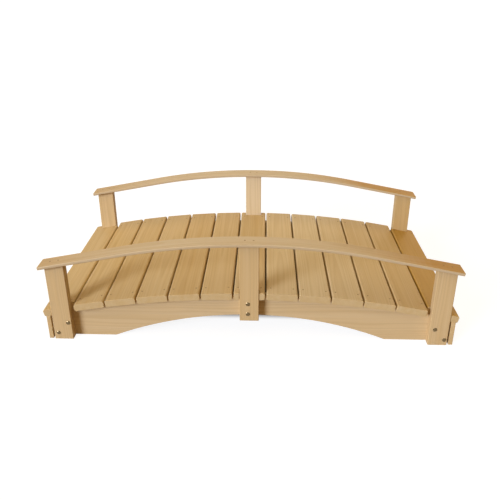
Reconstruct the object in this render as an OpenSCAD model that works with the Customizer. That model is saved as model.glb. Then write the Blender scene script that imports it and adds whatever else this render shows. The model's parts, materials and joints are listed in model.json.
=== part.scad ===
// Arched garden foot bridge: plank deck on two arched stringers, six posts and two bent handrails.
// Millimetres, +Z up, X along the walkway, resting on Z = 0, middle of the bridge at X = 0, Y = 0.

/* [Deck] */
// number of deck planks along the walkway
plank_count = 13; // [9:2:17]
// width of one plank along the walkway
plank_width = 144; // [110:1:160]
// open gap between neighbouring planks, at the top
plank_gap = 7.5; // [6:0.5:18]
// length of one plank, across the walkway
plank_length = 914; // [700:1:1200]
// thickness of one plank
plank_thickness = 35; // [22:0.5:40]
// radius of the rounded long edges of a plank
plank_edge_radius = 8; // [2:0.5:11]
// height of the deck top above the ground at mid span
deck_height = 265; // [245:1:300]
// radius of the arc that the deck top follows
deck_radius = 4380; // [4000:10:6000]
// clearance of the notches that the planks have for the posts
notch_clearance = 1.5; // [0.5:0.5:4]

/* [Stringers] */
// thickness of a stringer board
stringer_thickness = 38; // [30:0.5:50]
// rise of the arched underside above the ground
arch_rise = 128; // [60:1:135]
// radius of the arched underside
arch_radius = 1690; // [1400:5:2200]

/* [End boards] */
// thickness of the board across each end
end_board_thickness = 20; // [16:0.5:38]
// overhang of the end plank past the end board
end_nose = 14; // [5:1:30]

/* [Posts] */
// width of a post along the walkway
post_width = 89; // [60:1:100]
// thickness of a post across the walkway
post_thickness = 38; // [30:0.5:50]
// radius of the eased long edges of a post
post_edge_radius = 3; // [1:0.5:6]
// how far the post faces stand out past the plank ends
post_proud = 4; // [1:0.5:8]
// gap between an end post and the end board
post_end_gap = 8; // [1:0.5:10]
// height of the underside of a middle post above the ground
middle_post_foot = 120; // [60:1:127]

/* [Handrails] */
// width of a handrail board
rail_width = 85; // [70:1:110]
// thickness of a handrail board
rail_thickness = 15; // [12:0.5:30]
// radius of the rounded long edges of a handrail
rail_edge_radius = 4; // [2:0.5:5.5]
// height of the handrail top above the ground at mid span
rail_height = 531; // [490:1:800]
// radius of the bent middle part, at its top
rail_bend_radius = 3000; // [2600:10:4600]
// slope of the straight end parts, in degrees
rail_end_slope = 11; // [7:0.5:12]
// overhang of a handrail's ends past the end posts
rail_end_overhang = 22; // [5:1:60]
// overhang of a handrail past the outer post faces
rail_overhang = 24; // [15:1:35]

/* [Hidden] */
$fn = 96;
plank_colour = "#C8A672";
frame_colour = "#CDAF82";
rail_colour = "#CBAA78";
plank_pitch = plank_width + plank_gap;
plank_step = plank_pitch / deck_radius * 180 / PI;
deck_centre = deck_height - deck_radius;
seat_radius = deck_radius - plank_thickness;
end_angle = (plank_count - 1) / 2 * plank_step;
tip_x = deck_radius * sin(end_angle) + plank_width / 2 * cos(end_angle);
board_outer = tip_x - end_nose;
stringer_end = board_outer - end_board_thickness;
post_face = plank_length / 2 + post_proud;
stringer_face = post_face - post_thickness;
end_post_x = stringer_end - post_end_gap - post_width / 2;
rail_centre = rail_height - rail_bend_radius;
rail_axis_radius = rail_bend_radius - rail_thickness / 2;
rail_under_radius = rail_bend_radius - rail_thickness;
rail_tangent_x = rail_axis_radius * sin(rail_end_slope);
rail_end_x = end_post_x + post_width / 2 + rail_end_overhang;
rail_straight = (rail_end_x - rail_tangent_x) / cos(rail_end_slope);
rail_y = post_face + rail_overhang - rail_width / 2;
rail_lap = rail_end_slope / 20;
reach = 3 * deck_height + rail_height;

PLANKS = [for (i = [1 : plank_count]) str("plank_", i < 10 ? "0" : "", i)];
// node to build, or all

// underside of the end plank, as a height at x, for the end boards
function end_seat_z(x) =
    deck_centre + (seat_radius - abs(x) * sin(end_angle)) / cos(end_angle);

// underside of a handrail's straight end part, as a height at x
function rail_under_z(x) =
    rail_centre + (rail_under_radius - abs(x) * sin(rail_end_slope)) / cos(rail_end_slope);

// rectangle with round corners, centred
module rounded_rect(w, h, r) {
    square([w - 2 * r, h], center = true);
    square([w, h - 2 * r], center = true);
    for (sx = [-1, 1]) {
        for (sy = [-1, 1]) {
            translate([sx * (w / 2 - r), sy * (h / 2 - r)])
                circle(r);
        }
    }
}

// turns an outline drawn in X and height into a board across Y, from y0 to y1
module across(y0, y1) {
    translate([0, y1, 0])
        rotate([90, 0, 0])
            linear_extrude(height = y1 - y0)
                children();
}

// room that one plank leaves for a pair of posts at px
module post_room(px, inner, outer) {
    x0 = px - inner - notch_clearance;
    x1 = px + outer + notch_clearance;
    for (side = [0, 1]) {
        mirror([0, side, 0])
            translate([x0, stringer_face - notch_clearance, -reach])
                cube([x1 - x0, reach, 3 * reach]);
    }
}

// deck plank i, counted from the left
module plank(i) {
    a = (i - (plank_count + 1) / 2) * plank_step;
    mid_x = deck_radius * sin(a);
    half = post_width / 2;
    past = plank_width / 2;
    color(plank_colour)
        difference() {
            translate([0, 0, deck_centre])
                rotate([0, a, 0])
                    translate([0, 0, deck_radius - plank_thickness / 2])
                        across(-plank_length / 2, plank_length / 2)
                            rounded_rect(plank_width, plank_thickness, plank_edge_radius);
            if (abs(mid_x) < (plank_width + post_width) / 2 + notch_clearance)
                post_room(0, half, half);
            if (i == 1)
                post_room(-end_post_x, half, past);
            if (i == plank_count)
                post_room(end_post_x, past, half);
        }
}

// outline of a stringer: a flat under each plank on top, an arch below
module stringer_outline() {
    corner = seat_radius / cos(plank_step / 2);
    top = [for (k = [0 : plank_count])
        let (a = (k - plank_count / 2) * plank_step)
        [corner * sin(a), deck_centre + corner * cos(a)]];
    difference() {
        intersection() {
            polygon(concat(top, [[tip_x, -1], [-tip_x, -1]]));
            translate([-stringer_end, 0])
                square([2 * stringer_end, deck_height]);
        }
        translate([0, arch_rise - arch_radius])
            circle(arch_radius, $fn = 360);
    }
}

// stringer on the side of the sign s, -1 in front and 1 at the back
module stringer(s) {
    inner = stringer_face - stringer_thickness;
    color(frame_colour)
        mirror([0, s < 0 ? 1 : 0, 0])
            across(inner, stringer_face)
                stringer_outline();
}

// board across the stringer ends, s = -1 left and 1 right
module end_board(s) {
    color(frame_colour)
        mirror([s < 0 ? 1 : 0, 0, 0])
            across(-plank_length / 2, plank_length / 2)
                polygon([
                    [stringer_end, 0],
                    [board_outer, 0],
                    [board_outer, end_seat_z(board_outer)],
                    [stringer_end, end_seat_z(stringer_end)]
                ]);
}

// upright timber with eased edges at px, from z0 up to past the handrail
module post_blank(px, z0) {
    translate([px, post_face - post_thickness / 2, z0])
        linear_extrude(height = rail_height)
            rounded_rect(post_width, post_thickness, post_edge_radius);
}

// end post, sx = -1 left and 1 right, sy = -1 front and 1 back, top cut to the handrail slope
module end_post(sx, sy) {
    x0 = end_post_x - post_width;
    x1 = end_post_x + post_width;
    color(frame_colour)
        mirror([sx < 0 ? 1 : 0, 0, 0])
            mirror([0, sy < 0 ? 1 : 0, 0])
                intersection() {
                    post_blank(end_post_x, 0);
                    across(0, post_face + post_thickness)
                        polygon([[x0, -1], [x1, -1], [x1, rail_under_z(x1)], [x0, rail_under_z(x0)]]);
                }
}

// middle post, sy = -1 front and 1 back, top cut to the handrail bend
module middle_post(sy) {
    color(frame_colour)
        mirror([0, sy < 0 ? 1 : 0, 0])
            intersection() {
                post_blank(0, middle_post_foot);
                across(0, post_face + post_thickness)
                    translate([0, rail_centre])
                        circle(rail_under_radius, $fn = 360);
            }
}

// handrail, sy = -1 front and 1 back: two mirrored halves, each a bend that runs on into a straight end
module handrail(sy) {
    color(rail_colour)
        translate([0, sy * rail_y, rail_centre]) {
            for (sx = [0, 1]) {
                mirror([sx, 0, 0])
                    rotate([0, rail_end_slope, 0])
                        rail_half();
            }
        }
}

// half a handrail, drawn from the place where its bend ends and turned back a little past mid span
module rail_half() {
    rotate([90, 0, 0])
        rotate([0, 0, 90])
            rotate_extrude(angle = rail_end_slope + rail_lap, $fn = 720)
                translate([rail_axis_radius, 0])
                    rounded_rect(rail_thickness, rail_width, rail_edge_radius);
    translate([0, 0, rail_axis_radius])
        rotate([90, 0, 90])
            linear_extrude(height = rail_straight)
                rounded_rect(rail_width, rail_thickness, rail_edge_radius);
}

for (i = [1 : plank_count]) {
    plank(i);
}
stringer(-1);  // front_stringer
stringer(1);  // back_stringer
end_board(-1);  // left_end_board
end_board(1);  // right_end_board
end_post(-1, -1);  // front_left_post
middle_post(-1);  // front_middle_post
end_post(1, -1);  // front_right_post
end_post(-1, 1);  // back_left_post
middle_post(1);  // back_middle_post
end_post(1, 1);  // back_right_post
handrail(-1);  // front_handrail
handrail(1);  // back_handrail
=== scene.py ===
"""Looks of an arched garden foot bridge: oiled pine boards, bent handrails, steel bolts and deck screws.

Everything is in metres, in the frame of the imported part: X along the walkway, Y across it, Z up.
"""
import json
import math
import random

import bmesh
import bpy
from mathutils import Matrix, Vector

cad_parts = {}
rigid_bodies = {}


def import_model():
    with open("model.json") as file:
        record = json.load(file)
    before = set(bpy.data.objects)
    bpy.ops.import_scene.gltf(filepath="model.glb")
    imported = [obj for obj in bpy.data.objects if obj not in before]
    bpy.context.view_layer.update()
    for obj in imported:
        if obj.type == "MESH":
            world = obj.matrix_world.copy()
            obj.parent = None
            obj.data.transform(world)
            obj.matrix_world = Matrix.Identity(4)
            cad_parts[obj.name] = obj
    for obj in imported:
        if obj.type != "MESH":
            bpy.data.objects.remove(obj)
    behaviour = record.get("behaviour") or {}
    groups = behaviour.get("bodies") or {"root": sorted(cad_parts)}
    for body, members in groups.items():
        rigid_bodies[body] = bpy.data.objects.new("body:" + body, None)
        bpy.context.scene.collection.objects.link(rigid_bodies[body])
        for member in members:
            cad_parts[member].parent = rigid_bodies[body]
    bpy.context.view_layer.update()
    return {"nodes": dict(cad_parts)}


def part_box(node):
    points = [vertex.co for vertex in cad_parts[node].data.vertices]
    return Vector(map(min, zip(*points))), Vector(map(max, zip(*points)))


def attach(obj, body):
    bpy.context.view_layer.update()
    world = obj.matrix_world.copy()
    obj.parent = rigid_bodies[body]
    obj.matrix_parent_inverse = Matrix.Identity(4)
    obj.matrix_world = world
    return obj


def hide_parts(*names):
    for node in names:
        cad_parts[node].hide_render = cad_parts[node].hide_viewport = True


MM = 0.001

for start_object in list(bpy.data.objects):
    bpy.data.objects.remove(start_object)
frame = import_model()

# Boards of the frame, by the way their grain runs
PLANKS = sorted(name for name in frame["nodes"] if name.startswith("plank_"))
STRINGERS = ["front_stringer", "back_stringer"]
END_BOARDS = ["left_end_board", "right_end_board"]
POSTS = [side + place + "_post" for side in ("front_", "back_") for place in ("left", "middle", "right")]
HANDRAILS = ["front_handrail", "back_handrail"]

# Eased edges of the boards, and the angles that tell a sawn edge, a flat face and a sharp edge
ARRIS_EASE = 1.6 * MM
ARRIS_STEPS = 3
ARRIS_ANGLE = math.radians(30)
WELD_DISTANCE = 0.01 * MM
FLAT_ANGLE = math.radians(0.6)
SHARP_ANGLE = math.radians(40)
# Handrails: bend at the top face, slope of the straight ends, section, and steps along and round it
RAIL_BEND_RADIUS = 3000 * MM
RAIL_END_SLOPE = math.radians(11)
RAIL_THICKNESS = 15 * MM
RAIL_AXIS_RADIUS = RAIL_BEND_RADIUS - RAIL_THICKNESS / 2
RAIL_EDGE_RADIUS = 4 * MM
RAIL_STATION = 25 * MM
RAIL_CORNER_STEPS = 6
# Coach bolts, with the washers and nuts behind the stringers
BOLT_HEAD_WIDTH = 20 * MM
BOLT_HEAD_HEIGHT = 4.6 * MM
BOLT_HEAD_RIM = 1.2 * MM
BOLT_HEAD_BULGE = 0.1 * MM
BOLT_HEAD_UNDERCUT = 0.2 * MM
BOLT_HEAD_FLAT = 0.6 * MM
BOLT_HEAD_STEPS = 8
BOLT_SHANK = 8 * MM
BOLT_SHANK_STEPS = 20
BOLT_TIP = 11 * MM
BOLT_TIP_CHAMFER = 1.2 * MM
WASHER_WIDTH = 20 * MM
WASHER_THICKNESS = 1.6 * MM
WASHER_EDGE = 0.4 * MM
NUT_ACROSS_FLATS = 13 * MM
NUT_HEIGHT = 6.5 * MM
NUT_CHAMFER_WIDTH = 1.6 * MM
NUT_CHAMFER_HEIGHT = 1.0 * MM
# Countersunk screws with a square drive, and their spacing
SCREW_HEAD_WIDTH = 7 * MM
SCREW_DRIVE_WIDTH = 3.2 * MM
SCREW_DRIVE_DEPTH = 2.2 * MM
SCREW_PROUD = 0.35 * MM
DECK_SCREW_SPACING = 106 * MM
RAIL_SCREW_SPACING = 39 * MM
END_SCREW_HEIGHTS = (28 * MM, 84 * MM)
# Least upward part of the direction in which the top of a plank faces
TOP_FACE_RISE = 0.5
# Steps round a turned form
TURN_STEPS = 28
# Places of the bolts on each kind of post: X from the middle of the post, and height above the ground
BOLT_SPOTS = {
    "left": ((29 * MM, 92 * MM), (-24 * MM, 36 * MM)),
    "middle": ((-6 * MM, 211 * MM), (-6 * MM, 157 * MM)),
    "right": ((-20 * MM, 87 * MM), (30 * MM, 30 * MM)),
}

# Draws that place each board in its log and vary its tone
GRAIN_SEED = 11
draw = random.Random(GRAIN_SEED)


def linear(hex_colour):
    """Linear RGBA of an sRGB hex colour."""
    parts = [int(hex_colour[i:i + 2], 16) / 255 for i in (1, 3, 5)]
    return [c / 12.92 if c <= 0.04045 else ((c + 0.055) / 1.055) ** 2.4 for c in parts] + [1.0]


def add_node(tree, kind, values=None, links=None, **settings):
    """A new node of a tree, with its settings, the values of its sockets and what is linked to them."""
    node = tree.nodes.new(kind)
    for name, value in settings.items():
        setattr(node, name, value)
    for socket, value in (values or {}).items():
        node.inputs[socket].default_value = value
    for socket, source in (links or {}).items():
        tree.links.new(source, node.inputs[socket])
    return node


def middle_of(node):
    """Middle of the box round a board of the frame."""
    low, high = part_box(node)
    return (low + high) / 2


def new_material(name):
    """An empty material and its node tree."""
    material = bpy.data.materials.new(name)
    material.use_nodes = True
    material.node_tree.nodes.clear()
    return material, material.node_tree


# Materials

# Growth rings: their width, how far they wander, how much their late wood shows and when in a year it grows
RING_WIDTH = 5.5 * MM
RING_WANDER = 16 * MM
LATE_SHARE = 0.18
LATE_START = 0.35
LATE_END = 0.9
# The noise in the grain: length, width and detail of its features
GRAIN_NOISE = {
    "wander": (750 * MM, 110 * MM, 2.0),
    "fibre": (260 * MM, 2.6 * MM, 3.0),
    "streak": (700 * MM, 22 * MM, 2.0),
}
NOISE_ROUGHNESS = 0.55
# Range in which most of the noise lies
NOISE_LOW = 0.3
NOISE_HIGH = 0.7
# How much the broad streaks change the tone, and the fibres the brightness
TONE_STREAK = 0.4
FIBRE_SHADE = 0.035
# Oiled surface: shine of dull and smooth fibres, and height of the grain
OIL_IOR = 1.48
OIL_SPECULAR = 0.2
FIBRE_ROUGHNESS = (0.62, 0.48)
GRAIN_RELIEF = 0.25 * MM
GRAIN_RELIEF_STRENGTH = 0.35
LATE_RELIEF = 0.6
# Cloudy pattern of a dipped coat, and how far it moves the roughness down and up
SPANGLE = 4 * MM
SPANGLE_DETAIL = 2.0
SPANGLE_SMOOTHER = 0.06
SPANGLE_ROUGHER = 0.1


def oiled_pine(name, earlywood, latewood, heartwood):
    """Planed, sanded pine under clear oil.

    It gives the eye a honey tan with straight, slightly darker late-wood lines that widen into arches on
    flat-sawn faces, fine fibre streaks, boards that differ a little in tone, and a dull satin shine.
    The fibre streaks are drawn about four times as wide as real ones, so that they show.
    The oil has sunk in, so the specular level is lower than under a film of varnish.
    """
    material, tree = new_material(name)
    grain = add_node(tree, "ShaderNodeAttribute", attribute_name="grain").outputs["Vector"]
    board = add_node(tree, "ShaderNodeAttribute", attribute_name="board_tone").outputs["Fac"]

    # Noise drawn out along the grain
    noise = {}
    for use, (length, width, detail) in GRAIN_NOISE.items():
        placed = add_node(
            tree, "ShaderNodeVectorMath", {1: (1 / length, 1 / width, 1 / width)}, {0: grain},
            operation="MULTIPLY")
        noise[use] = add_node(
            tree, "ShaderNodeTexNoise", {"Scale": 1.0, "Detail": detail, "Roughness": NOISE_ROUGHNESS},
            {"Vector": placed.outputs[0]}).outputs["Fac"]

    # Growth rings round the pith, which lies off the board
    across = add_node(
        tree, "ShaderNodeVectorMath", {1: (0, 1, 1)}, {0: grain}, operation="MULTIPLY").outputs[0]
    from_pith = add_node(
        tree, "ShaderNodeVectorMath", links={0: across}, operation="LENGTH").outputs["Value"]
    ring_place = add_node(
        tree, "ShaderNodeMath", {1: RING_WANDER}, {0: noise["wander"], 2: from_pith},
        operation="MULTIPLY_ADD")
    ring_count = add_node(
        tree, "ShaderNodeMath", {1: RING_WIDTH}, {0: ring_place.outputs[0]}, operation="DIVIDE")
    season = add_node(tree, "ShaderNodeMath", links={0: ring_count.outputs[0]}, operation="FRACT")
    summer = add_node(
        tree, "ShaderNodeMapRange", {"From Min": LATE_START, "From Max": LATE_END},
        {"Value": season.outputs[0]}, interpolation_type="SMOOTHSTEP")
    winter = add_node(
        tree, "ShaderNodeMapRange", {"From Min": 1.0, "From Max": LATE_END},
        {"Value": season.outputs[0]}, interpolation_type="SMOOTHSTEP")
    late = add_node(
        tree, "ShaderNodeMath", links={0: summer.outputs[0], 1: winter.outputs[0]}, operation="MULTIPLY")

    # Colour: board tone, which carries painted light and shade, and broad streaks first, then rings, then
    # fibres
    tone = add_node(
        tree, "ShaderNodeMath", {1: TONE_STREAK}, {0: noise["streak"], 2: board}, operation="MULTIPLY_ADD")
    tone_share = add_node(
        tree, "ShaderNodeMapRange", {"From Min": TONE_STREAK / 2, "From Max": 1 + TONE_STREAK / 2},
        {"Value": tone.outputs[0]})
    ground = add_node(
        tree, "ShaderNodeMix", {6: linear(earlywood), 7: linear(heartwood)}, {0: tone_share.outputs[0]},
        data_type="RGBA")
    late_share = add_node(
        tree, "ShaderNodeMath", {1: LATE_SHARE}, {0: late.outputs[0]}, operation="MULTIPLY")
    ringed = add_node(
        tree, "ShaderNodeMix", {7: linear(latewood)}, {0: late_share.outputs[0], 6: ground.outputs[2]},
        data_type="RGBA")
    fibre_value = add_node(
        tree, "ShaderNodeMapRange",
        {
            "From Min": NOISE_LOW, "From Max": NOISE_HIGH,
            "To Min": 1 - FIBRE_SHADE, "To Max": 1 + FIBRE_SHADE,
        },
        {"Value": noise["fibre"]})
    colour = add_node(
        tree, "ShaderNodeVectorMath", links={0: ringed.outputs[2], 3: fibre_value.outputs[0]},
        operation="SCALE")

    # Surface: the late wood stands up a little, and raised fibres shine a little more
    dull, smooth = FIBRE_ROUGHNESS
    roughness = add_node(
        tree, "ShaderNodeMapRange",
        {"From Min": NOISE_LOW, "From Max": NOISE_HIGH, "To Min": dull, "To Max": smooth},
        {"Value": noise["fibre"]})
    height = add_node(
        tree, "ShaderNodeMath", {1: LATE_RELIEF}, {0: late.outputs[0], 2: noise["fibre"]},
        operation="MULTIPLY_ADD")
    relief = add_node(
        tree, "ShaderNodeBump", {"Strength": GRAIN_RELIEF_STRENGTH, "Distance": GRAIN_RELIEF},
        {"Height": height.outputs[0]})
    surface = add_node(
        tree, "ShaderNodeBsdfPrincipled", {"IOR": OIL_IOR, "Specular IOR Level": OIL_SPECULAR},
        {"Base Color": colour.outputs[0], "Roughness": roughness.outputs[0], "Normal": relief.outputs[0]})
    add_node(tree, "ShaderNodeOutputMaterial", links={"Surface": surface.outputs[0]})
    return material


def plated_steel(name, bright, dull, roughness):
    """Steel that was forged and then dipped in a yellow or bronze coat.

    It gives the eye a dark, brownish shine with a bright spot towards the lamp, broken by faint clouds.
    """
    material, tree = new_material(name)
    place = add_node(tree, "ShaderNodeTexCoord").outputs["Object"]
    spangle = add_node(
        tree, "ShaderNodeTexNoise", {"Scale": 1 / SPANGLE, "Detail": SPANGLE_DETAIL},
        {"Vector": place}).outputs["Fac"]
    colour = add_node(
        tree, "ShaderNodeMix", {6: linear(bright), 7: linear(dull)}, {0: spangle}, data_type="RGBA")
    shine = add_node(
        tree, "ShaderNodeMapRange",
        {"To Min": roughness - SPANGLE_SMOOTHER, "To Max": roughness + SPANGLE_ROUGHER}, {"Value": spangle})
    surface = add_node(
        tree, "ShaderNodeBsdfPrincipled", {"Metallic": 1.0},
        {"Base Color": colour.outputs[2], "Roughness": shine.outputs[0]})
    add_node(tree, "ShaderNodeOutputMaterial", links={"Surface": surface.outputs[0]})
    return material


deck_pine = oiled_pine("oiled_pine_deck", "#DAC69C", "#A57F42", "#B99045")
frame_pine = oiled_pine("oiled_pine_frame", "#D9C197", "#A88854", "#C49B52")
rail_pine = oiled_pine("oiled_pine_rail", "#CCBA98", "#A5844D", "#B3863B")
bolt_steel = plated_steel("yellow_passivated_bolt_steel", "#877354", "#5C4C31", roughness=0.16)
screw_steel = plated_steel("bronze_coated_screw_steel", "#8A6A42", "#6E5232", roughness=0.42)


# Boards

# Tones of boards, from 0 for pale sapwood to 1 for orange heartwood: the usual range of each kind, those of
# the boards that carry painted light or shade, and the left end, middle and right end of the long ones. A
# value past 0 or 1 reaches that tone before the end of the board, and a higher run keeps the middle's tone
# for longer.
# The narrow faces of the handrails keep a steady pale tone of their own, which is painted light, and all
# end grain has a tone of its own.
PLANK_TONES = (0.52, 0.64)
POST_TONES = (0.4, 0.55)
END_BOARD_TONES = (0.4, 0.55)
# Painted light: the pale deck boards right of the middle and the pale back middle post. Painted shade: the
# orange boards and posts at the right end.
PAINTED_LIGHT_AND_SHADE_TONES = {
    "plank_08": 0.3, "plank_09": 0.22, "plank_10": 0.3, "plank_11": 0.45, "plank_12": 0.6, "plank_13": 1.1,
    "back_middle_post": 0.0, "back_right_post": 0.6, "right_end_board": 0.6,
}
STRINGER_TONES = (-1.0, 0.32, 0.35)
# The handrails' pale middles are painted light and their orange right ends painted shade.
RAIL_PAINTED_LIGHT_AND_SHADE_TONES = {"front_handrail": (0.52, 0.19, 1.45), "back_handrail": (0.52, 0.19, 2.8)}
RAIL_EDGE_PAINTED_LIGHT_TONE = 0.25
TONE_RUN = 3
END_GRAIN_TONE = 0.47
# Share of a face's turn towards the end of its board from which it counts as end grain
END_GRAIN_START = 0.2
# Place of a board in its log: along it in metres, then across and below it from the pith
PITH_ALONG = (0, 40)
PITH_ACROSS = (-35 * MM, 35 * MM)
PITH_BELOW = (70 * MM, 130 * MM)
GRAIN_AXES = {"x": Vector((1, 0, 0)), "y": Vector((0, 1, 0)), "z": Vector((0, 0, 1))}


def show_piece(name, shape, material, replaced=None):
    """Turns a bmesh into a piece of the bridge, smooth over its eased edges."""
    mesh = bpy.data.meshes.new(name)
    shape.normal_update()
    shape.to_mesh(mesh)
    shape.free()
    mesh.polygons.foreach_set("use_smooth", [True] * len(mesh.polygons))
    mesh.set_sharp_from_angle(angle=SHARP_ANGLE)
    mesh.materials.append(material)
    piece = bpy.data.objects.new(name, mesh)
    bpy.context.scene.collection.objects.link(piece)
    flat_faces = piece.modifiers.new("flat_faces", "WEIGHTED_NORMAL")
    flat_faces.keep_sharp = True
    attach(piece, "root")
    if replaced:
        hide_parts(replaced)


def lay_grain(shape, node, along, place_of, tones, painted_light_edge_tone=None):
    """Gives a board its place in its log and its tone.

    The place is a length along the grain, one across it and one into its depth.
    Where a painted-light edge tone is given, the faces to the front and back take that.
    """
    low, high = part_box(node)
    left_tone, middle_tone, right_tone = tones
    pith = Vector((draw.uniform(*PITH_ALONG), draw.uniform(*PITH_ACROSS), draw.uniform(*PITH_BELOW)))
    grain = shape.verts.layers.float_vector.new("grain")
    board_tone = shape.faces.layers.float.new("board_tone")
    for corner in shape.verts:
        corner[grain] = place_of(corner.co) + pith
    for face in shape.faces:
        middle = face.calc_center_median()
        end_turn = abs(face.normal.dot(along(middle)))
        end_share = max(0.0, end_turn - END_GRAIN_START) / (1 - END_GRAIN_START)
        # Drift from the middle's tone to that of each end; on the handrails the pale middle is painted
        # light and the orange right end painted shade.
        place = (2 * middle.x - low.x - high.x) / (high.x - low.x)
        end_tone = left_tone if place < 0 else right_tone
        tone = middle_tone + (end_tone - middle_tone) * abs(place) ** TONE_RUN
        # Painted light: the front and back faces of a handrail take the steady pale tone.
        if painted_light_edge_tone is not None:
            tone += (painted_light_edge_tone - tone) * abs(face.normal.y)
        face[board_tone] = tone + (END_GRAIN_TONE - tone) * end_share


def eased_board(node, axis, material, tones):
    """A board of the frame with its sawn edges eased and its grain along one axis."""
    shape = bmesh.new()
    shape.from_mesh(frame["nodes"][node].data)
    bmesh.ops.remove_doubles(shape, verts=shape.verts, dist=WELD_DISTANCE)
    bmesh.ops.dissolve_limit(shape, angle_limit=FLAT_ANGLE, verts=shape.verts, edges=shape.edges)
    arrises = [e for e in shape.edges if e.is_convex and e.calc_face_angle() > ARRIS_ANGLE]
    bmesh.ops.bevel(
        shape, geom=arrises, offset=ARRIS_EASE, offset_type="OFFSET", segments=ARRIS_STEPS, profile=0.5,
        affect="EDGES")
    shape.normal_update()
    along = GRAIN_AXES[axis]
    widest = max(shape.faces, key=lambda face: face.calc_area())
    depth = widest.normal.copy()
    across = depth.cross(along)
    middle = middle_of(node)

    def place_of(point):
        """Lengths along the grain, across it and into the depth, from the middle of the board."""
        from_middle = point - middle
        return Vector((from_middle.dot(along), from_middle.dot(across), from_middle.dot(depth)))

    lay_grain(shape, node, lambda point: along, place_of, tones)
    show_piece(node + "_timber", shape, material, node)


def rounded_profile(width, height, radius):
    """Corners of a rectangle with round corners, in order round its middle."""
    points = []
    for turn, (sx, sy) in enumerate(((1, 1), (-1, 1), (-1, -1), (1, -1))):
        for step in range(RAIL_CORNER_STEPS + 1):
            angle = math.pi / 2 * (turn + step / RAIL_CORNER_STEPS)
            points.append((
                sx * (width / 2 - radius) + radius * math.cos(angle),
                sy * (height / 2 - radius) + radius * math.sin(angle)))
    return points


def rail_slope(turn):
    """Slope of a handrail where its bend has turned by an angle: the straight ends keep the last slope."""
    return max(-RAIL_END_SLOPE, min(RAIL_END_SLOPE, turn))


def rail_line(node):
    """Middle line of a handrail as (X, Z, slope): straight ends on a bent middle."""
    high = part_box(node)[1]
    radius = RAIL_AXIS_RADIUS
    centre_z = high.z - RAIL_BEND_RADIUS
    tip_x = high.x - RAIL_THICKNESS / 2 * math.sin(RAIL_END_SLOPE)
    straight = (tip_x - radius * math.sin(RAIL_END_SLOPE)) / math.cos(RAIL_END_SLOPE)
    reach = radius * RAIL_END_SLOPE + straight
    count = math.ceil(reach / RAIL_STATION)
    line = []
    for k in range(-count, count + 1):
        length = reach * k / count
        slope = rail_slope(length / radius)
        past = length - slope * radius
        x = radius * math.sin(slope) + past * math.cos(slope)
        z = centre_z + radius * math.cos(slope) - past * math.sin(slope)
        line.append((x, z, slope))
    return line


def bent_rail(node):
    """A handrail swept along its line, with round long edges and eased ends."""
    low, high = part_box(node)
    rail_y = (low.y + high.y) / 2
    centre_z = high.z - RAIL_BEND_RADIUS
    profile = rounded_profile(high.y - low.y, RAIL_THICKNESS, RAIL_EDGE_RADIUS)
    shape = bmesh.new()
    rings = []
    for x, z, slope in rail_line(node):
        up = Vector((math.sin(slope), 0, math.cos(slope)))
        rings.append([
            shape.verts.new(Vector((x, rail_y + across, z)) + up * height) for across, height in profile])
    for ring, following in zip(rings, rings[1:]):
        for k in range(len(ring)):
            after = (k + 1) % len(ring)
            shape.faces.new((ring[k], ring[after], following[after], following[k]))
    ends = [shape.faces.new(rings[0][::-1]), shape.faces.new(rings[-1])]
    bmesh.ops.recalc_face_normals(shape, faces=shape.faces)
    bmesh.ops.bevel(
        shape, geom=[e for face in ends for e in face.edges], offset=ARRIS_EASE, offset_type="OFFSET",
        segments=ARRIS_STEPS, profile=0.5, affect="EDGES")

    def slope_at(point):
        """Slope of the handrail at a point."""
        return rail_slope(math.atan2(point.x, point.z - centre_z))

    def along(point):
        """Direction of the grain at a point."""
        slope = slope_at(point)
        return Vector((math.cos(slope), 0, -math.sin(slope)))

    def place_of(point):
        """Lengths along the bent grain, across it and into the depth."""
        slope = slope_at(point)
        up = Vector((math.sin(slope), 0, math.cos(slope)))
        from_centre = Vector((point.x, 0, point.z - centre_z))
        past = from_centre.dot(along(point))
        depth = from_centre.dot(up) - RAIL_AXIS_RADIUS
        return Vector((slope * RAIL_AXIS_RADIUS + past, point.y - rail_y, depth))

    shape.normal_update()
    lay_grain(shape, node, along, place_of, RAIL_PAINTED_LIGHT_AND_SHADE_TONES[node], RAIL_EDGE_PAINTED_LIGHT_TONE)
    show_piece(node + "_timber", shape, rail_pine, node)


def even_tone(node, usual):
    """Tone of a board that is the same from end to end."""
    # Drawn for every board, so that one with painted light or shade doesn't change those after it
    drawn = draw.uniform(*usual)
    tone = PAINTED_LIGHT_AND_SHADE_TONES.get(node, drawn)
    return tone, tone, tone


for plank in PLANKS:
    eased_board(plank, "y", deck_pine, even_tone(plank, PLANK_TONES))
for stringer in STRINGERS:
    eased_board(stringer, "x", frame_pine, STRINGER_TONES)
for end_board in END_BOARDS:
    eased_board(end_board, "y", frame_pine, even_tone(end_board, END_BOARD_TONES))
for post in POSTS:
    eased_board(post, "z", frame_pine, even_tone(post, POST_TONES))
for handrail in HANDRAILS:
    bent_rail(handrail)


# Bolts and screws

def turned(shape, profile, steps=TURN_STEPS):
    """Adds a turned form to a mesh: profile points (radius, height) from its top middle to its foot."""
    rings = []
    for radius, height in profile:
        ring = [
            shape.verts.new((radius * math.cos(a), radius * math.sin(a), height))
            for a in (2 * math.pi * k / steps for k in range(steps))]
        rings.append(ring)
    for ring, following in zip(rings, rings[1:]):
        for k in range(steps):
            after = (k + 1) % steps
            shape.faces.new((ring[k], following[k], following[after], ring[after]))
    shape.faces.new(rings[0])
    shape.faces.new(rings[-1][::-1])
    return [corner for ring in rings for corner in ring]


def place_corners(corners, place):
    """Moves new corners from their own middle to a place on the bridge."""
    for corner in corners:
        corner.co = place @ corner.co


def facing(point, direction):
    """Place of a fastener whose axis points along a direction."""
    turn = Vector(direction).to_track_quat("Z", "Y").to_matrix().to_4x4()
    return Matrix.Translation(point) @ turn


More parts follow.
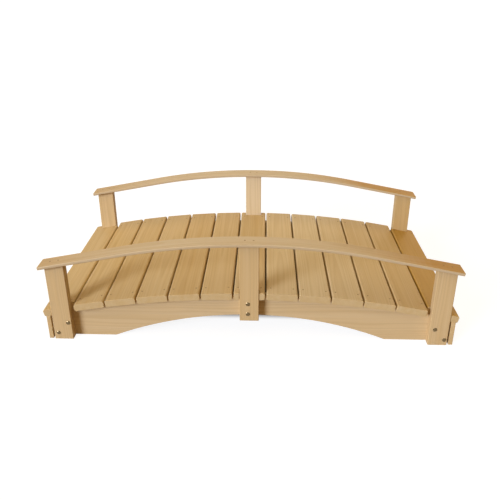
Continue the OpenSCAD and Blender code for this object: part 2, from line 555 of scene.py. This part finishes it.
def dome_head(shape, place):
    """Round head of a coach bolt: a low dome on a short rim."""
    rise = BOLT_HEAD_HEIGHT - BOLT_HEAD_RIM
    half = BOLT_HEAD_WIDTH / 2
    ball = (half ** 2 + rise ** 2) / (2 * rise)
    lean = math.asin(half / ball)
    profile = [(BOLT_HEAD_FLAT, BOLT_HEAD_HEIGHT)]
    for k in range(1, BOLT_HEAD_STEPS + 1):
        angle = lean * k / BOLT_HEAD_STEPS
        profile.append((ball * math.sin(angle), BOLT_HEAD_HEIGHT - ball * (1 - math.cos(angle))))
    profile.append((half + BOLT_HEAD_BULGE, BOLT_HEAD_RIM / 2))
    profile.append((half - BOLT_HEAD_UNDERCUT, 0.0))
    place_corners(turned(shape, profile), place)


def nut_and_washer(shape, place):
    """Washer, six-sided nut and the tip of the bolt, on the far side of the timber."""
    half = WASHER_WIDTH / 2
    shank = BOLT_SHANK / 2
    washer = [
        (shank, WASHER_THICKNESS), (half - WASHER_EDGE, WASHER_THICKNESS),
        (half, WASHER_THICKNESS - WASHER_EDGE), (half, 0.0)]
    place_corners(turned(shape, washer), place)
    corner_radius = NUT_ACROSS_FLATS / math.sqrt(3)
    top = WASHER_THICKNESS + NUT_HEIGHT
    nut = [
        (corner_radius - NUT_CHAMFER_WIDTH, top), (corner_radius, top - NUT_CHAMFER_HEIGHT),
        (corner_radius, WASHER_THICKNESS)]
    place_corners(turned(shape, nut, steps=6), place)
    tip = WASHER_THICKNESS + BOLT_TIP
    thread = [
        (shank - BOLT_TIP_CHAMFER, tip), (shank, tip - BOLT_TIP_CHAMFER), (shank, WASHER_THICKNESS)]
    place_corners(turned(shape, thread, BOLT_SHANK_STEPS), place)


def screw_head(shape, place):
    """Countersunk screw head, almost flush, with a square drive recess."""
    outer = []
    low = []
    mouth = []
    floor = []
    rim = SCREW_HEAD_WIDTH / 2
    half = SCREW_DRIVE_WIDTH / 2
    deep = SCREW_PROUD - SCREW_DRIVE_DEPTH
    for k in range(TURN_STEPS):
        angle = 2 * math.pi * (k + 0.5) / TURN_STEPS
        reach = half / max(abs(math.cos(angle)), abs(math.sin(angle)))
        outer.append(shape.verts.new((rim * math.cos(angle), rim * math.sin(angle), SCREW_PROUD)))
        low.append(shape.verts.new((rim * math.cos(angle), rim * math.sin(angle), -SCREW_PROUD)))
        mouth.append(shape.verts.new((reach * math.cos(angle), reach * math.sin(angle), SCREW_PROUD)))
        floor.append(shape.verts.new((reach * math.cos(angle), reach * math.sin(angle), deep)))
    for k in range(TURN_STEPS):
        after = (k + 1) % TURN_STEPS
        shape.faces.new((low[k], low[after], outer[after], outer[k]))
        shape.faces.new((outer[k], outer[after], mouth[after], mouth[k]))
        shape.faces.new((mouth[k], mouth[after], floor[after], floor[k]))
    shape.faces.new(floor)
    shape.faces.new(low[::-1])
    place_corners(outer + low + mouth + floor, place)


def show_fasteners(name, shape, material):
    """Turns the bmesh of some fasteners into a piece, with its faces to the outside."""
    bmesh.ops.recalc_face_normals(shape, faces=shape.faces)
    show_piece(name, shape, material)


def post_bolts(post):
    """The two coach bolts of a post, with their nuts behind the stringer."""
    low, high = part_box(post)
    side = "front" if post.startswith("front") else "back"
    out = -1 if side == "front" else 1
    stringer_low, stringer_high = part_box(side + "_stringer")
    face_y = low.y if out < 0 else high.y
    inner_y = stringer_high.y if out < 0 else stringer_low.y
    middle_x = (low.x + high.x) / 2
    shape = bmesh.new()
    for from_middle, z in BOLT_SPOTS[post.split("_")[1]]:
        x = middle_x + from_middle
        dome_head(shape, facing((x, face_y, z), (0, out, 0)))
        nut_and_washer(shape, facing((x, inner_y, z), (0, -out, 0)))
    show_fasteners(post + "_bolts", shape, bolt_steel)


def plank_screws(plank):
    """Two screws at each end of a plank, over the middle of the stringers."""
    mesh = frame["nodes"][plank].data
    upward = [face for face in mesh.polygons if face.normal.z > TOP_FACE_RISE]
    top = max(upward, key=lambda face: face.area)
    up = top.normal.copy()
    along_walk = Vector((up.z, 0, -up.x))
    height = max(corner.co.dot(up) for corner in mesh.vertices)
    reach = [corner.co.dot(along_walk) for corner in mesh.vertices]
    middle = up * height + along_walk * (min(reach) + max(reach)) / 2
    shape = bmesh.new()
    for stringer in STRINGERS:
        y = middle_of(stringer).y
        for side in (-0.5, 0.5):
            spot = middle + along_walk * side * DECK_SCREW_SPACING + Vector((0, y, 0))
            screw_head(shape, facing(spot, up))
    show_fasteners(plank + "_screws", shape, screw_steel)


def rail_screws(rail):
    """Two screws through a handrail into the top of each post."""
    side = "front" if rail.startswith("front") else "back"
    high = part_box(rail)[1]
    radius = RAIL_BEND_RADIUS
    centre_z = high.z - radius
    shape = bmesh.new()
    for post in POSTS:
        if not post.startswith(side):
            continue
        post_middle = middle_of(post)
        for share in (-0.5, 0.5):
            x = post_middle.x + share * RAIL_SCREW_SPACING
            slope = rail_slope(math.asin(x / radius))
            up = Vector((math.sin(slope), 0, math.cos(slope)))
            z = centre_z + (radius - x * math.sin(slope)) / math.cos(slope)
            screw_head(shape, facing((x, post_middle.y, z), up))
    show_fasteners(rail + "_screws", shape, screw_steel)


def end_board_screws(board):
    """Two screws through an end board into the end of each stringer."""
    low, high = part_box(board)
    out = math.copysign(1, low.x)
    face_x = low.x if out < 0 else high.x
    shape = bmesh.new()
    for stringer in STRINGERS:
        y = middle_of(stringer).y
        for z in END_SCREW_HEIGHTS:
            screw_head(shape, facing((face_x, y, z), (out, 0, 0)))
    show_fasteners(board + "_screws", shape, screw_steel)


for post in POSTS:
    post_bolts(post)
for plank in PLANKS:
    plank_screws(plank)
for handrail in HANDRAILS:
    rail_screws(handrail)
for end_board in END_BOARDS:
    end_board_screws(end_board)


# Floor, light and camera

# Floor: white paper that sends warm light up, with a painted shade under the deck that keeps the gaps
# between the planks dark. The painted shade has a middle and half a length and width, and it fades between
# two shares of these. The glows are those of painted shade and paper to the eye, and the share is that of
# the lamps' own shadows in it.
FLOOR_SIDE = 120.0
FLOOR_DROP = 0.2 * MM
STUDIO_WHITE = "#FFFFFF"
FLOOR_BOUNCE = "#9A7B4E"
FLOOR_SHADE = "#54442F"
FLOOR_SHADE_EDGE = (0.8, 1.2)
FLOOR_SHADE_MIDDLE = (0, 160 * MM, 0)
FLOOR_SHADE_HALF = (800 * MM, 400 * MM, 1)
FLOOR_SHADE_GLOW = 0.5
FLOOR_GLOW = 1.16
FLOOR_SHADOW_SHARE = 0.25
# Lamps: turn to the left from the front, height, spread, strength and colour
KEY_TURN = math.radians(46)
KEY_HEIGHT = math.radians(16.5)
KEY_SPREAD = math.radians(24)
KEY_STRENGTH = 3.85
KEY_COLOUR = "#DCE7FF"
TOP_TURN = 0.0
TOP_HEIGHT = math.radians(75)
TOP_SPREAD = math.radians(85)
TOP_STRENGTH = 1.74
TOP_COLOUR = "#FFE6BA"
BACK_TURN = math.radians(196)
BACK_HEIGHT = math.radians(20)
BACK_SPREAD = math.radians(60)
BACK_STRENGTH = 0.9
BACK_COLOUR = "#FFE6C0"
AMBIENT = 0.03
AMBIENT_COLOUR = "#FFD9A0"
# Camera, as fitted to the photograph
CAMERA_PLACE = Vector((64, -2630, 1640)) * MM
CAMERA_TURN = math.radians(1.59)
CAMERA_TILT = math.radians(23.22)
CAMERA_LENS = 39.93
CAMERA_SHIFT_Y = -0.09


def seen_directly(tree):
    """One for rays from the camera and for those that a mirror or glass sends on, otherwise nothing."""
    rays = add_node(tree, "ShaderNodeLightPath")
    first = add_node(
        tree, "ShaderNodeMath", links={0: rays.outputs["Is Camera Ray"], 1: rays.outputs["Is Glossy Ray"]},
        operation="MAXIMUM")
    return add_node(
        tree, "ShaderNodeMath", links={0: first.outputs[0], 1: rays.outputs["Is Transmission Ray"]},
        operation="MAXIMUM").outputs[0]


def white_floor():
    """Matt studio paper: white to the eye, with a painted shade close under the bridge and part of the
    lamps' shadows.
    """
    material, tree = new_material("matt_white_studio_paper")
    bounce = add_node(tree, "ShaderNodeBsdfDiffuse", {"Color": linear(FLOOR_BOUNCE)})
    place = add_node(tree, "ShaderNodeTexCoord").outputs["Object"]
    from_middle = add_node(
        tree, "ShaderNodeVectorMath", {1: FLOOR_SHADE_MIDDLE}, {0: place}, operation="SUBTRACT")
    in_halves = add_node(
        tree, "ShaderNodeVectorMath", {1: FLOOR_SHADE_HALF}, {0: from_middle.outputs[0]},
        operation="DIVIDE")
    squares = add_node(
        tree, "ShaderNodeVectorMath", links={0: in_halves.outputs[0], 1: in_halves.outputs[0]},
        operation="MULTIPLY")
    how_far = add_node(
        tree, "ShaderNodeVectorMath", links={0: squares.outputs[0]}, operation="LENGTH").outputs["Value"]
    shade_end, white_start = FLOOR_SHADE_EDGE
    clear = add_node(
        tree, "ShaderNodeMapRange", {"From Min": shade_end, "From Max": white_start}, {"Value": how_far},
        interpolation_type="SMOOTHSTEP")
    tint = add_node(
        tree, "ShaderNodeMix", {6: linear(FLOOR_SHADE), 7: linear(STUDIO_WHITE)}, {0: clear.outputs[0]},
        data_type="RGBA")
    strength = add_node(
        tree, "ShaderNodeMapRange", {"To Min": FLOOR_SHADE_GLOW, "To Max": FLOOR_GLOW},
        {"Value": clear.outputs[0]})
    paper = add_node(tree, "ShaderNodeBsdfDiffuse", links={"Color": tint.outputs[2]})
    glow = add_node(
        tree, "ShaderNodeEmission", links={"Color": tint.outputs[2], "Strength": strength.outputs[0]})
    seen = add_node(
        tree, "ShaderNodeMixShader", {0: FLOOR_SHADOW_SHARE}, {1: glow.outputs[0], 2: paper.outputs[0]})
    surface = add_node(
        tree, "ShaderNodeMixShader",
        links={0: seen_directly(tree), 1: bounce.outputs[0], 2: seen.outputs[0]})
    add_node(tree, "ShaderNodeOutputMaterial", links={"Surface": surface.outputs[0]})
    shape = bmesh.new()
    half = FLOOR_SIDE / 2
    corners = [(-half, -half), (half, -half), (half, half), (-half, half)]
    shape.faces.new([shape.verts.new((x, y, -FLOOR_DROP)) for x, y in corners])
    mesh = bpy.data.meshes.new("studio_floor")
    shape.to_mesh(mesh)
    shape.free()
    mesh.materials.append(material)
    floor = bpy.data.objects.new("studio_floor", mesh)
    bpy.context.scene.collection.objects.link(floor)


def far_lamp(name, turn, height, spread, strength, colour):
    """A lamp far off, turned to the left from the front and raised by those angles."""
    lamp = bpy.data.lights.new(name, "SUN")
    lamp.energy = strength
    lamp.angle = spread
    lamp.color = linear(colour)[:3]
    piece = bpy.data.objects.new(name, lamp)
    flat = math.cos(height)
    towards = Vector((-math.sin(turn) * flat, -math.cos(turn) * flat, math.sin(height)))
    piece.rotation_euler = towards.to_track_quat("Z", "Y").to_euler()
    bpy.context.scene.collection.objects.link(piece)


def studio_light():
    """The lamps and the world.

    A low, cool lamp stands at the front left and a very broad, warm one high over the front.
    Weak warm fills come from behind and from all round.
    """
    far_lamp("key_lamp", KEY_TURN, KEY_HEIGHT, KEY_SPREAD, KEY_STRENGTH, KEY_COLOUR)
    far_lamp("overhead_lamp", TOP_TURN, TOP_HEIGHT, TOP_SPREAD, TOP_STRENGTH, TOP_COLOUR)
    far_lamp("back_lamp", BACK_TURN, BACK_HEIGHT, BACK_SPREAD, BACK_STRENGTH, BACK_COLOUR)
    world = bpy.data.worlds.new("studio")
    world.use_nodes = True
    tree = world.node_tree
    tree.nodes.clear()
    glow = add_node(tree, "ShaderNodeBackground", {"Color": linear(AMBIENT_COLOUR), "Strength": AMBIENT})
    white = add_node(tree, "ShaderNodeBackground", {"Color": linear(STUDIO_WHITE), "Strength": 1.0})
    mixed = add_node(
        tree, "ShaderNodeMixShader",
        links={0: seen_directly(tree), 1: glow.outputs[0], 2: white.outputs[0]})
    add_node(tree, "ShaderNodeOutputWorld", links={"Surface": mixed.outputs[0]})
    bpy.context.scene.world = world


def studio_camera():
    """The camera at the photograph's viewing angle, for a square picture."""
    lens = bpy.data.cameras.new("camera")
    lens.lens = CAMERA_LENS
    lens.shift_y = CAMERA_SHIFT_Y
    camera = bpy.data.objects.new("camera", lens)
    camera.location = CAMERA_PLACE
    camera.rotation_euler = (math.pi / 2 - CAMERA_TILT, 0, CAMERA_TURN)
    bpy.context.scene.collection.objects.link(camera)
    bpy.context.scene.camera = camera


white_floor()
studio_light()
studio_camera()
bpy.context.scene.view_settings.view_transform = "Standard"
